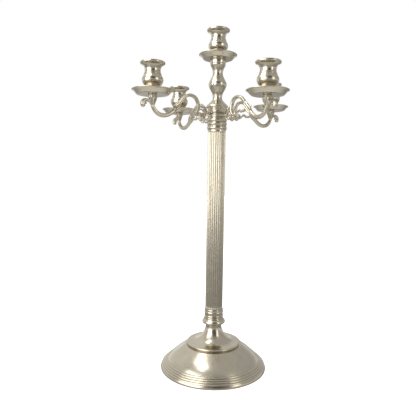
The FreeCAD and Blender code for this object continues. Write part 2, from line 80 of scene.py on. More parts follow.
# Sizes that the frame's boxes don't give, in mm. The bores are radii.
RING_HEIGHT = 3.8           # of the castings' rings at the hub
RING_RADIUS = 17.6
RING_GROOVES = {"lower_branch": 0.6, "upper_branch": 3.4}   # how far each ring steps in at its underside
ROD_BORE = 4.4              # clearance round the tie rod
STEM_TAP = 3.0              # middle screw's hole in the stem, above the rod
SCREW_BORE = 2.8            # clearance round a socket's screw
COLLAR_BORE = 17.25         # both collars, over the tube
SPIGOT_RADIUS = 14.7        # upper collar's spigot in the tube
SPIGOT_TOP = 20.3           # its shoulder, below the collar's top
SKIRT_OPENING = 43.0        # hole in the middle of the base's lower shell
NECK_INSIDE = 13.6          # inside of the base's swept neck
TUBE_WALL = 2.2
CANDLE_BORE = 11.5
CUP_SCREW_HEAD = 4.8        # recess for the screw's head in the cup
CUP_FLOOR = 22.0            # bottom of the candle's hole, above the cup's foot
CUP_MOUTH = 47.0            # where that hole opens into the lip
CASTING_VOXEL = 0.42        # fineness of the castings' fused skin
HUB_MARGIN = 1.0            # how far outside a ring its faces are held flat


# ---------------------------------------------------------------- materials
def new_material(name):
    material = bpy.data.materials.new(name)
    material.use_nodes = True
    tree = material.node_tree
    shader = tree.nodes["Principled BSDF"]
    return material, tree, shader


def link(tree, source, target):
    tree.links.new(source, target)


def ramp(tree, source, stops):
    made = tree.nodes.new("ShaderNodeValToRGB")
    elements = made.color_ramp.elements
    for number, (place, value) in enumerate(stops):
        element = elements[number] if number < 2 else elements.new(place)
        element.position = place
        colour = (value, value, value) if isinstance(value, (int, float)) else value
        element.color = (*colour, 1.0)
    link(tree, source, made.inputs["Fac"])
    return made.outputs["Color"]


def noise(tree, vector, scale, detail=4.0, roughness=0.55):
    made = tree.nodes.new("ShaderNodeTexNoise")
    made.inputs["Scale"].default_value = scale
    made.inputs["Detail"].default_value = detail
    made.inputs["Roughness"].default_value = roughness
    link(tree, vector, made.inputs["Vector"])
    return made.outputs["Fac"]


def stretched(tree, vector, scale, offset=(0.0, 0.0, 0.0)):
    made = tree.nodes.new("ShaderNodeMapping")
    made.inputs["Scale"].default_value = scale
    made.inputs["Location"].default_value = offset
    link(tree, vector, made.inputs["Vector"])
    return made.outputs["Vector"]


def mix_colour(tree, fac, first, second):
    made = tree.nodes.new("ShaderNodeMix")
    made.data_type = "RGBA"
    sockets = {"A": made.inputs[6], "B": made.inputs[7]}
    for key, value in (("A", first), ("B", second)):
        if isinstance(value, tuple):
            sockets[key].default_value = (*value, 1.0)
        else:
            link(tree, value, sockets[key])
    if isinstance(fac, (int, float)):
        made.inputs[0].default_value = fac
    else:
        link(tree, fac, made.inputs[0])
    return made.outputs[2]


def math_node(tree, operation, first, second, clamp=False):
    made = tree.nodes.new("ShaderNodeMath")
    made.operation = operation
    made.use_clamp = clamp
    for socket, value in zip(made.inputs, (first, second)):
        if isinstance(value, (int, float)):
            socket.default_value = value
        else:
            link(tree, value, socket)
    return made.outputs[0]


def bump(tree, height, distance, strength=1.0, normal=None):
    made = tree.nodes.new("ShaderNodeBump")
    made.inputs["Strength"].default_value = strength
    made.inputs["Distance"].default_value = distance
    link(tree, height, made.inputs["Height"])
    if normal is not None:
        link(tree, normal, made.inputs["Normal"])
    return made.outputs["Normal"]


NICKEL = (0.61, 0.555, 0.44)
NICKEL_WORN = (0.70, 0.65, 0.54)
NICKEL_DULL = (0.45, 0.39, 0.29)
# Dark patina colour: real patina and painted shade in the hollows, and the colour of the pits
PATINA_AND_SHADE = (0.12, 0.095, 0.06)


def plated(name, offset, rough, grime_and_shade, turned=True):
    """Satin nickel plate with worn clouds, dull smudges, patina and painted shade in the hollows, pits and
    polish lines.

    The offset moves the pattern, so that no two materials repeat it. Turned pieces get lines that run round
    them, castings an even grain.
    """
    material, tree, shader = new_material(name)
    coords = tree.nodes.new("ShaderNodeTexCoord").outputs["Object"]
    moved = stretched(tree, coords, (1.0, 1.0, 1.0), offset)

    cloud = ramp(tree, noise(tree, moved, 14.0, 5.0, 0.6), [(0.36, 0.0), (0.66, 1.0)])
    smudge = ramp(tree, noise(tree, stretched(tree, moved, (1.0, 1.0, 0.7)), 42.0, 4.0, 0.62),
                  [(0.52, 0.0), (0.72, 1.0)])
    colour = mix_colour(tree, math_node(tree, "MULTIPLY", cloud, 0.35), NICKEL, NICKEL_WORN)
    colour = mix_colour(tree, math_node(tree, "MULTIPLY", smudge, 0.38), colour, NICKEL_DULL)

    hollow = tree.nodes.new("ShaderNodeAttribute")
    hollow.attribute_name = "hollow"
    # Patina and painted shade: grooves and hollows are darkened towards the patina colour by how hollow they
    # are, standing in for the shade that falls in them as well as for real patina
    shade_and_patina = math_node(tree, "MULTIPLY", hollow.outputs["Fac"], grime_and_shade, clamp=True)
    breakup = ramp(tree, noise(tree, moved, 180.0, 3.0), [(0.30, 0.55), (0.70, 1.0)])
    shade_and_patina = math_node(tree, "MULTIPLY", shade_and_patina, breakup, clamp=True)
    colour = mix_colour(tree, shade_and_patina, colour, PATINA_AND_SHADE)

    pits = ramp(tree, noise(tree, moved, 620.0, 2.0, 0.4), [(0.70, 0.0), (0.78, 1.0)])
    colour = mix_colour(tree, math_node(tree, "MULTIPLY", pits, 0.35), colour, PATINA_AND_SHADE)
    link(tree, colour, shader.inputs["Base Color"])

    satin = noise(tree, moved, 75.0, 5.0, 0.65)
    gloss = math_node(tree, "ADD", rough - 0.07, math_node(tree, "MULTIPLY", satin, 0.14))
    gloss = math_node(tree, "ADD", gloss, math_node(tree, "MULTIPLY", smudge, 0.10))
    gloss = math_node(tree, "ADD", gloss, math_node(tree, "MULTIPLY", shade_and_patina, 0.25), clamp=True)
    link(tree, gloss, shader.inputs["Roughness"])

    grain = (40.0, 40.0, 2600.0) if turned else (420.0, 420.0, 420.0)
    lines = noise(tree, stretched(tree, moved, grain), 1.0, 3.0, 0.6)
    normal = bump(tree, lines, 0.00002 if turned else 0.00005, 0.25)
    normal = bump(tree, noise(tree, moved, 38.0, 2.0, 0.5), 0.00030, 0.35, normal)
    normal = bump(tree, math_node(tree, "SUBTRACT", 1.0, pits), 0.00005, 0.6, normal)
    link(tree, normal, shader.inputs["Normal"])
    shader.inputs["Metallic"].default_value = 1.0
    return material


def ballast_material():
    material, tree, shader = new_material("cast_iron")
    coords = tree.nodes.new("ShaderNodeTexCoord").outputs["Object"]
    speckle = noise(tree, coords, 260.0, 6.0, 0.7)
    rust = ramp(tree, noise(tree, coords, 30.0, 4.0), [(0.50, 0.0), (0.75, 1.0)])
    colour = mix_colour(tree, speckle, (0.045, 0.043, 0.042), (0.12, 0.115, 0.11))
    colour = mix_colour(tree, math_node(tree, "MULTIPLY", rust, 0.5), colour, (0.17, 0.07, 0.03))
    link(tree, colour, shader.inputs["Base Color"])
    link(tree, bump(tree, speckle, 0.0004), shader.inputs["Normal"])
    shader.inputs["Metallic"].default_value = 0.6
    shader.inputs["Roughness"].default_value = 0.7
    return material


def felt_material():
    material, tree, shader = new_material("felt")
    coords = tree.nodes.new("ShaderNodeTexCoord").outputs["Object"]
    fibres = noise(tree, coords, 900.0, 5.0, 0.75)
    tufts = noise(tree, coords, 90.0, 3.0)
    colour = mix_colour(tree, fibres, (0.012, 0.016, 0.014), (0.05, 0.06, 0.055))
    colour = mix_colour(tree, math_node(tree, "MULTIPLY", tufts, 0.4), colour, (0.03, 0.035, 0.03))
    link(tree, colour, shader.inputs["Base Color"])
    link(tree, bump(tree, fibres, 0.0005), shader.inputs["Normal"])
    shader.inputs["Roughness"].default_value = 0.95
    shader.inputs["Sheen Weight"].default_value = 0.6
    return material


def zinc_material():
    material, tree, shader = new_material("zinc_steel")
    coords = tree.nodes.new("ShaderNodeTexCoord").outputs["Object"]
    spangle = noise(tree, coords, 210.0, 3.0)
    colour = mix_colour(tree, spangle, (0.42, 0.42, 0.41), (0.62, 0.62, 0.60))
    link(tree, colour, shader.inputs["Base Color"])
    link(tree, math_node(tree, "ADD", 0.25, math_node(tree, "MULTIPLY", spangle, 0.25)),
         shader.inputs["Roughness"])
    link(tree, bump(tree, spangle, 0.0001), shader.inputs["Normal"])
    shader.inputs["Metallic"].default_value = 1.0
    return material


# ---------------------------------------------------------------- mesh helpers
def catmull(points, per_span):
    """Points along a smooth curve through the given ones. Rows may have any number of columns."""
    data = np.asarray(points, float)
    ends = np.vstack([2 * data[0] - data[1], data, 2 * data[-1] - data[-2]])
    steps = np.sqrt(np.linalg.norm(np.diff(ends[:, :2], axis=0), axis=1)) + 1e-9
    out = []
    for span in range(len(data) - 1):
        p0, p1, p2, p3 = ends[span:span + 4]
        t0, t1, t2, t3 = np.concatenate([[0.0], np.cumsum(steps[span:span + 3])])
        for t in np.linspace(t1, t2, per_span, endpoint=False):
            a1 = (t1 - t) / (t1 - t0) * p0 + (t - t0) / (t1 - t0) * p1
            a2 = (t2 - t) / (t2 - t1) * p1 + (t - t1) / (t2 - t1) * p2
            a3 = (t3 - t) / (t3 - t2) * p2 + (t - t2) / (t3 - t2) * p3
            b1 = (t2 - t) / (t2 - t0) * a1 + (t - t0) / (t2 - t0) * a2
            b2 = (t3 - t) / (t3 - t1) * a2 + (t - t1) / (t3 - t1) * a3
            out.append((t2 - t) / (t2 - t1) * b1 + (t - t1) / (t2 - t1) * b2)
    out.append(data[-1])
    return np.array(out)


def section(points, smooth=8, edge=0.25):
    """A half section for turning. Points are (r, z) on a smooth curve, or (r, z, "edge") at a corner.

    Each corner is eased by a small radius, so that it catches the light as a worn edge does.
    """
    runs, run = [], []
    for point in points:
        run.append(point[:2])
        if len(point) == 3:
            runs.append(run)
            run = [point[:2]]
    runs.append(run)
    curves = [catmull(part, smooth) if len(part) > 2 else np.array(part, float)
              for part in runs if len(part) > 1]
    out = [curves[0][0]]
    for number, curve in enumerate(curves):
        body = list(curve[1:-1])
        out += body
        last = curve[-1]
        if number == len(curves) - 1:
            out.append(last)
            continue
        before = last - curve[-2]
        after = curves[number + 1][1] - last
        reach = min(edge, np.linalg.norm(before) * 0.45, np.linalg.norm(after) * 0.45)
        start = last - before / np.linalg.norm(before) * reach
        finish = last + after / np.linalg.norm(after) * reach
        for share in (0.0, 0.25, 0.5, 0.75, 1.0):
            out.append((1 - share) ** 2 * start + 2 * share * (1 - share) * last + share ** 2 * finish)
    return np.array(out)


def mesh_object(name, vertices, faces):
    mesh = bpy.data.meshes.new(name)
    mesh.from_pydata([tuple(v) for v in vertices], [], faces)
    mesh.validate()
    made = bpy.data.objects.new(name, mesh)
    bpy.context.scene.collection.objects.link(made)
    return made


def smooth_shade(made):
    made.data.polygons.foreach_set("use_smooth", [True] * len(made.data.polygons))
    made.data.update()


def lathe(name, profile, around=144, shape=None, centre=(0.0, 0.0)):
    """Turn a closed half section (mm) about a vertical axis. shape(r, z, angle) may change the radius."""
    rows = np.asarray(profile, float)
    angles = np.linspace(0, 2 * math.pi, around, endpoint=False)
    radius = np.repeat(rows[:, :1], around, axis=1)
    height = np.repeat(rows[:, 1:2], around, axis=1)
    turn = np.repeat(angles[None, :], len(rows), axis=0)
    if shape is not None:
        radius, height = shape(radius, height, turn)
    x = centre[0] + radius * np.cos(turn)
    y = centre[1] + radius * np.sin(turn)
    vertices = np.stack([x, y, height], axis=2).reshape(-1, 3) * MM
    faces = []
    count = len(rows)
    for row in range(count):
        after = (row + 1) % count
        for step in range(around):
            beside = (step + 1) % around
            faces.append((row * around + step, after * around + step, after * around + beside,
                          row * around + beside))
    made = mesh_object(name, vertices, faces)
    fix_normals(made)
    smooth_shade(made)
    return made


def fix_normals(made):
    mesh = bmesh.new()
    mesh.from_mesh(made.data)
    bmesh.ops.remove_doubles(mesh, verts=mesh.verts, dist=1e-7)
    bmesh.ops.recalc_face_normals(mesh, faces=mesh.faces)
    mesh.to_mesh(made.data)
    mesh.free()


def mark_hollows(made, gain, passes=3, reach=0.0008):
    """Store how hollow the surface is at each vertex, for the patina and painted shade: 0 on flats and edges,
    1 in grooves.

    The bend of the surface is averaged over a few passes. A hollow of radius reach (m) counts as 1.
    """
    data = made.data
    count = len(data.vertices)
    place = np.empty(count * 3)
    data.vertices.foreach_get("co", place)
    place = place.reshape(-1, 3)
    normal = np.empty(count * 3)
    data.vertex_normals.foreach_get("vector", normal)
    normal = normal.reshape(-1, 3)
    pairs = np.empty(len(data.edges) * 2, int)
    data.edges.foreach_get("vertices", pairs)
    first, second = pairs.reshape(-1, 2).T
    gap = place[second] - place[first]
    size = np.maximum(np.linalg.norm(gap, axis=1), 1e-7)
    rise_first = (gap * normal[first]).sum(1) / size ** 2
    rise_second = (-gap * normal[second]).sum(1) / size ** 2
    bend = np.bincount(first, rise_first, count) + np.bincount(second, rise_second, count)
    degree = np.maximum(np.bincount(first, minlength=count) + np.bincount(second, minlength=count), 1)
    bend = bend / degree * reach
    for _ in range(passes):
        total = np.bincount(first, bend[second], count) + np.bincount(second, bend[first], count)
        bend = 0.4 * bend + 0.6 * total / degree
    value = np.clip(bend * gain, 0.0, 1.0)
    store = data.attributes.new("hollow", "FLOAT", "POINT")
    store.data.foreach_set("value", value.astype(np.float32))


def finish_piece(made, material, body, replaced, gain=1.0):
    """Give a piece its patina and painted shade in the hollows and its material, and put it on its body in
    place of a CAD node.
    """
    mark_hollows(made, gain)
    made.data.materials.clear()
    made.data.materials.append(material)
    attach(made, body)
    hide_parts(replaced)


# ---------------------------------------------------------------- turned pieces
def turned_piece(name, points, material, body, replaced, around=144, edge=0.25, smooth=8,
                 centre=(0.0, 0.0), gain=1.0):
    """Turn an outline, ease its corners by edge, and finish it in place of a CAD node."""
    made = lathe(name, section(points, smooth, edge), around, centre=centre)
    finish_piece(made, material, body, replaced, gain)


def make_base(sheet):
    """Lower shell: domed slope, four reeds and a plain rolled rim. Upper shell: step disc and swept neck."""
    rim = outer_radius("base_skirt")
    top = level("base_skirt", top=True)
    reed_from, reed_to = (rim - 14.3, 17.5), (rim - 1.6, 6.4)
    reeds = 4
    points = [(SKIRT_OPENING, top, "edge"), (rim - 50.6, top), (rim - 48.9, top - 0.35),
              (rim - 47.2, top - 1.5), (rim - 38.0, top - 8.1), (rim - 28.0, top - 15.6),
              (rim - 20.0, top - 22.7), (rim - 15.4, top - 27.7), (*reed_from, "edge")]
    run = np.subtract(reed_to, reed_from) / reeds
    out = np.array([-run[1], run[0]]) / np.linalg.norm(run)
    for count in range(reeds):
        start = np.add(reed_from, run * count)
        for share, lift in ((0.2, 0.72), (0.5, 1.0), (0.8, 0.72)):
            points.append(tuple(start + run * share + out * lift))
        points.append((*(start + run), "edge"))
    points += [(rim - 1.0, 5.3), (rim - 0.35, 3.6), (rim, 2.0), (rim - 0.05, 0.9),
               (rim - 0.5, 0.0, "edge"), (rim - 2.2, 0.0, "edge"),
               (rim - 2.6, 3.2), (rim - 17.0, 15.0), (rim - 50.2, top - 2.4), (rim - 52.0, top - 2.6),
               (SKIRT_OPENING, top - 2.6, "edge"), (SKIRT_OPENING, top - 0.3)]
    turned_piece("dome", points, sheet, "stand", around=220, replaced="base_skirt", gain=2.5)

    disc = outer_radius("base_cap")
    low, high = level("base_cap"), level("base_cap", top=True)
    points = [(ROD_BORE, high, "edge"), (15.7, high, "edge"), (15.6, high - 3.2), (15.8, high - 5.6),
              (16.5, high - 8.9), (17.7, high - 12.6), (19.6, high - 16.6), (22.6, high - 21.2),
              (27.0, high - 26.3), (32.4, high - 30.6), (38.0, high - 33.2), (44.0, high - 34.1),
              (disc - 2.6, high - 34.6), (disc - 1.1, high - 35.0), (disc - 0.2, high - 35.9),
              (disc, high - 36.9), (disc - 0.4, high - 37.9), (disc - 1.9, high - 38.5, "edge"),
              (disc - 2.6, low + 0.2), (disc - 4.2, low, "edge"), (disc - 4.6, high - 37.3),
              (38.0, high - 35.6), (17.0, high - 17.0), (NECK_INSIDE, high - 6.0),
              (NECK_INSIDE, high - 2.4, "edge"), (ROD_BORE, high - 2.4, "edge")]
    turned_piece("step_disc", points, sheet, "stand", around=200, replaced="base_cap",
                 gain=0.25)


def make_column_parts(cast, sheet):
    """Foot ring, lower collar, fluted tube and upper collar."""
    low, high = level("foot_ring"), level("foot_ring", top=True)
    edge = outer_radius("foot_ring")
    points = [(ROD_BORE, high, "edge"), (edge - 3.6, high, "edge"), (edge - 3.3, high - 0.8),
              (edge - 1.1, high - 2.9), (edge - 0.1, high - 5.3), (edge, high - 7.0),
              (edge - 0.9, high - 8.9), (edge - 3.0, high - 10.4), (edge - 5.6, low + 0.25),
              (15.2, low, "edge"), (ROD_BORE, low, "edge")]
    turned_piece("ring_foot", points, cast, "stand", around=160, replaced="foot_ring")

    low, high = level("lower_collar"), level("lower_collar", top=True)
    edge = outer_radius("lower_collar")
    points = [(COLLAR_BORE, low, "edge"), (edge - 0.5, low, "edge"), (edge - 0.1, low + 0.8),
              (edge, low + 2.0), (edge - 0.4, low + 3.1, "edge"),
              (edge - 1.3, low + 3.6), (edge - 1.35, low + 4.3, "edge"),
              (edge - 0.6, low + 5.0), (edge - 0.25, low + 6.0), (edge - 0.6, low + 7.0, "edge"),
              (edge - 1.0, low + 7.3), (edge - 1.0, low + 11.0), (edge - 0.95, low + 11.6, "edge"),
              (edge - 0.35, low + 12.2), (edge - 0.2, low + 13.3), (edge - 0.5, low + 14.5, "edge"),
              (edge - 0.9, low + 15.0), (edge - 0.7, low + 16.8), (edge - 0.55, high - 1.2),
              (edge - 1.0, high - 0.2), (COLLAR_BORE, high, "edge")]
    turned_piece("collar_foot", points, cast, "stand", around=144, replaced="lower_collar",
                 gain=2.0)

    make_fluted_tube(sheet)

    low, high = level("upper_collar"), level("upper_collar", top=True)
    skirt = high - 25.0
    edge = outer_radius("upper_collar")
    points = [(ROD_BORE, high, "edge"), (edge - 2.6, high, "edge"), (edge - 2.8, high - 1.4),
              (edge - 1.9, high - 2.7, "edge")]
    for top, bottom in ((high - 2.9, high - 8.8), (high - 10.1, high - 15.9), (high - 17.4, high - 24.4)):
        run = top - bottom
        points += [(edge - 0.6, top - 0.12 * run), (edge, top - 0.38 * run), (edge, top - 0.62 * run),
                   (edge - 0.6, top - 0.88 * run), (edge - 1.7, bottom - 0.4, "edge")]
        points.append((edge - 1.7, bottom - 0.9, "edge"))
    shoulder = high - SPIGOT_TOP
    points = points[:-2] + [(edge - 1.4, skirt, "edge"), (COLLAR_BORE, skirt, "edge"),
                            (COLLAR_BORE, shoulder, "edge"), (SPIGOT_RADIUS, shoulder, "edge"),
                            (SPIGOT_RADIUS, low, "edge"), (ROD_BORE, low, "edge")]
    turned_piece("collar_head", points, cast, "stand", around=160, replaced="upper_collar",
                 gain=2.2)


def make_fluted_tube(sheet):
    """Tube with round-ended flutes between thin fillets."""
    low, high = level("column_tube"), level("column_tube", top=True)
    radius = outer_radius("column_tube")
    flutes, per_flute = 28, 14
    depth, half = 1.0, 1.62                 # of one flute: how deep, and half its width
    end_low, end_high = 120.0, 466.6        # heights where the flutes end
    ends = 1.75                             # length of a flute's round end
    steps = [low, low + 6.0, 112.0, end_low - 0.3]
    steps += [end_low + ends * share for share in (0.0, 0.08, 0.2, 0.35, 0.5, 0.65, 0.8, 1.0)]
    steps += list(np.linspace(end_low + 6.0, end_high - 6.0, 60))
    steps += [end_high - ends * share for share in (1.0, 0.8, 0.65, 0.5, 0.35, 0.2, 0.08, 0.0)]
    steps += [end_high + 0.3, 469.5, high]
    around = flutes * per_flute

    def flute(r, z, turn):
        pitch = 2 * math.pi / flutes
        across = (np.mod(turn + pitch / 2, pitch) - pitch / 2) * radius
        near_end = np.clip(np.minimum(z - end_low, end_high - z) / ends, 0.0, 1.0)
        reach = half * np.sqrt(np.clip(1 - (1 - near_end) ** 2, 0.0, 1.0)) + 1e-6
        dip = depth * near_end ** 0.5 * np.sqrt(np.clip(1 - (across / reach) ** 2, 0.0, 1.0))
        outside = r > radius - 0.5
        return np.where(outside & (near_end > 0), r - dip, r), z

    rows = [(radius, z) for z in steps] + [(radius - TUBE_WALL, z) for z in (high, low)]
    made = lathe("fluted_tube", rows, around, flute)
    finish_piece(made, sheet, "stand", "column_tube", gain=1.9)


def make_stem_parts(cast):
    """Spacer ring, and the baluster from its ring down over the bulb and the waist to the bell."""
    low, high = level("stem_spacer"), level("stem_spacer", top=True)
    edge = outer_radius("stem_spacer")
    points = [(ROD_BORE, high, "edge"), (edge - 0.5, high, "edge"), (edge, high - 0.9),
              (edge - 0.1, high - 1.9, "edge"), (edge - 0.5, high - 2.4), (edge - 0.5, low + 1.5, "edge"),
              (edge - 0.2, low + 1.1), (edge - 0.3, low + 0.4), (edge - 0.9, low, "edge"),
              (ROD_BORE, low, "edge")]
    turned_piece("spacer_ring", points, cast, "stand", around=144, replaced="stem_spacer")

    low, high = level("stem"), level("stem", top=True)
    lip = outer_radius("stem")
    points = [(STEM_TAP, high, "edge"), (15.3, high, "edge"), (15.4, high - 2.6), (15.3, high - 7.4),
              (14.9, high - 9.0, "edge"),
              (14.6, high - 9.6), (14.7, high - 11.6), (13.9, high - 13.3), (12.95, high - 15.1),
              (12.0, high - 17.0), (11.3, high - 18.9), (10.6, high - 20.7), (10.15, high - 22.6),
              (9.75, high - 24.5), (9.6, high - 26.4), (9.8, high - 28.3), (10.2, high - 30.2),
              (10.8, high - 32.0), (11.7, high - 33.9), (12.65, high - 35.8), (13.6, high - 37.7),
              (14.6, high - 39.6), (15.5, high - 41.5), (16.35, high - 43.4), (17.05, high - 45.2),
              (17.4, high - 47.1), (17.35, high - 49.0), (17.0, high - 50.9), (16.4, high - 52.8),
              (15.6, high - 54.7), (14.6, high - 56.6), (13.6, high - 58.5), (12.5, high - 60.4),
              (11.4, high - 62.3), (10.5, high - 64.5), (9.6, high - 67.4), (9.1, high - 70.6),
              (8.95, high - 72.9),
              (9.2, high - 74.8), (10.1, high - 76.7), (11.5, high - 78.7), (13.2, high - 80.6),
              (15.0, high - 82.5), (17.1, high - 84.5), (19.0, high - 86.4), (20.6, high - 88.4),
              (lip - 0.15, high - 90.3), (lip, high - 91.4), (lip - 0.5, high - 92.2, "edge"),
              (lip - 2.0, high - 92.6), (18.5, low + 2.2, "edge"), (18.3, low, "edge"),
              (ROD_BORE, low, "edge"), (ROD_BORE, high - 68.0, "edge"), (STEM_TAP, high - 66.0, "edge")]
    turned_piece("baluster", points, cast, "stand", around=160, replaced="stem", smooth=5,
                 gain=0.5)


def make_holder(place, body, cast):
    """Drip pan with an out-turned rolled lip, and candle cup with a double band above its bulb."""
    centre = centre_xy(f"{place}_pan")
    foot = level(f"{place}_pan")
    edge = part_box(f"{place}_pan")[1][0] / MM - centre[0]
    points = [(SCREW_BORE, foot, "edge"), (27.4, foot), (28.4, foot + 0.3), (29.4, foot + 1.2),
              (32.0, foot + 4.0), (34.0, foot + 6.2), (35.2, foot + 7.0), (edge - 0.3, foot + 7.3),
              (edge, foot + 7.9), (edge - 0.4, foot + 8.5), (edge - 1.6, foot + 8.6), (34.0, foot + 8.2),
              (32.6, foot + 6.9),
              (30.2, foot + 4.2), (27.8, foot + 1.8), (26.6, foot + 1.4), (SCREW_BORE, foot + 1.4, "edge")]
    turned_piece(f"{place}_dish", points, cast, body, around=128, replaced=f"{place}_pan",
                 centre=centre, smooth=6, gain=0.4)

    foot = level(f"{place}_cup")
    high = level(f"{place}_cup", top=True)
    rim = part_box(f"{place}_cup")[1][0] / MM - centre[0]
    mouth = foot + CUP_MOUTH
    floor = foot + CUP_FLOOR
    points = [(SCREW_BORE, foot, "edge"), (11.6, foot, "edge"), (12.0, foot + 0.9),
              (11.6, foot + 1.9, "edge"), (10.0, foot + 3.2), (9.7, foot + 4.4), (10.3, foot + 7.2),
              (11.8, foot + 10.2), (14.2, foot + 13.2), (16.6, foot + 16.6), (17.9, foot + 18.9),
              (18.7, foot + 21.6), (18.85, foot + 23.8),
              (18.3, foot + 26.4), (17.3, foot + 28.6), (16.2, foot + 30.6), (15.35, foot + 32.4, "edge"),
              (15.55, foot + 32.9), (15.2, foot + 33.6, "edge"), (14.95, foot + 33.8), (15.1, foot + 34.4),
              (14.7, foot + 35.2, "edge"), (14.1, foot + 36.6), (13.75, foot + 38.8), (13.7, foot + 40.6),
              (13.95, high - 12.4), (14.6, high - 10.7), (15.4, high - 9.0), (16.3, high - 7.3),
              (17.1, high - 6.3), (18.1, high - 5.5), (19.5, high - 4.9), (20.8, high - 4.3),
              (rim - 0.3, high - 3.4), (rim, high - 2.4), (rim - 0.25, high - 1.3), (rim - 1.0, high - 0.4),
              (rim - 2.1, high), (rim - 3.0, high - 0.4, "edge"), (17.6, high - 2.2), (14.4, high - 4.4),
              (12.0, mouth + 0.8), (CANDLE_BORE, mouth - 0.4, "edge"), (CANDLE_BORE, floor, "edge"),
              (CUP_SCREW_HEAD, floor, "edge"), (CUP_SCREW_HEAD, floor - 3.0, "edge"),
              (SCREW_BORE, floor - 3.0, "edge")]
    turned_piece(f"{place}_candle_cup", points, cast, body, around=128,
                 replaced=f"{place}_cup", centre=centre, smooth=5, edge=0.15, gain=0.35)


# ---------------------------------------------------------------- branch castings
def strand(mesh, path, per_span=6, sides=16, reeds=0, depth=0.0, flat=2.0):
    """Add a closed rib to a bmesh.

    Path rows are (u, w, high, wide): place in the arm's plane, then the half sizes in that plane and across
    it. A fifth number moves the rib sideways. The section is a rounded box when flat is above 2, and reeds
    cut lengthwise grooves into it.
    """
    rows = [tuple(row) + (0.0,) * (5 - len(row)) for row in path]
    fine = catmull(rows, per_span)
    rings = []
    angles = np.linspace(0, 2 * math.pi, sides, endpoint=False)
    for number, (u, w, high, wide, side) in enumerate(fine):
        before = fine[max(number - 1, 0)][:2]
        after = fine[min(number + 1, len(fine) - 1)][:2]
        along = (after - before) / np.linalg.norm(after - before)
        up = np.array([-along[1], along[0]])
        ring = []
        for angle in angles:
            c, s = math.cos(angle), math.sin(angle)
            size = (abs(c) ** flat + abs(s) ** flat) ** (-1 / flat)
            groove = 1 - depth * (0.5 + 0.5 * math.cos(reeds * angle)) if reeds else 1.0
            across, lift = c * size * wide * groove, s * size * high * groove
            ring.append(mesh.verts.new((u + up[0] * lift, side + across, w + up[1] * lift)))
        rings.append(ring)
    for one, two in zip(rings, rings[1:]):
        for step in range(sides):
            beside = (step + 1) % sides
            mesh.faces.new((one[step], one[beside], two[beside], two[step]))
    mesh.faces.new(list(reversed(rings[0])))
    mesh.faces.new(rings[-1])


def solid_turned(mesh, rows, u, around=40, ripple=None):
    """Add a closed solid turned about a vertical axis at u. Rows are (r, w), from bottom to top."""
    rings = []
    for r, w in rows:
        ring = []
        for step in range(around):
            angle = 2 * math.pi * step / around
            radius = r * (ripple(angle, w) if ripple else 1.0)
            ring.append(mesh.verts.new((u + radius * math.cos(angle), radius * math.sin(angle), w)))
        rings.append(ring)
    for one, two in zip(rings, rings[1:]):
        for step in range(around):
            beside = (step + 1) % around
            mesh.faces.new((one[step], one[beside], two[beside], two[step]))
    mesh.faces.new(list(reversed(rings[0])))
    mesh.faces.new(rings[-1])


def blob(mesh, u, side, w, sizes, lean=0.0):
    """Add an egg shape with half sizes (along, across, up), leaning in the arm's plane by an angle."""
    made = bmesh.ops.create_icosphere(mesh, subdivisions=3, radius=1.0)
    turn = Matrix.Rotation(-lean, 4, "Y")
    for vertex in made["verts"]:
        scaled = Vector((vertex.co.x * sizes[0], vertex.co.y * sizes[1], vertex.co.z * sizes[2]))
        vertex.co = turn @ scaled + Vector((u, side, w))


def leaf(mesh, points, thick, veins=3):
    """Add a leaf: a rib with a broad, scalloped outline and a raised vein. Rows are (u, w, half width)."""
    count = len(points) - 1
    path = []
    for number, (u, w, half) in enumerate(points):
        swell = math.sin(math.pi * min(max(number / count, 0.06), 0.97)) ** 0.5
        path.append((u, w, thick * swell, half))
    strand(mesh, path, per_span=6, sides=20, reeds=veins * 2, depth=0.16, flat=2.4)


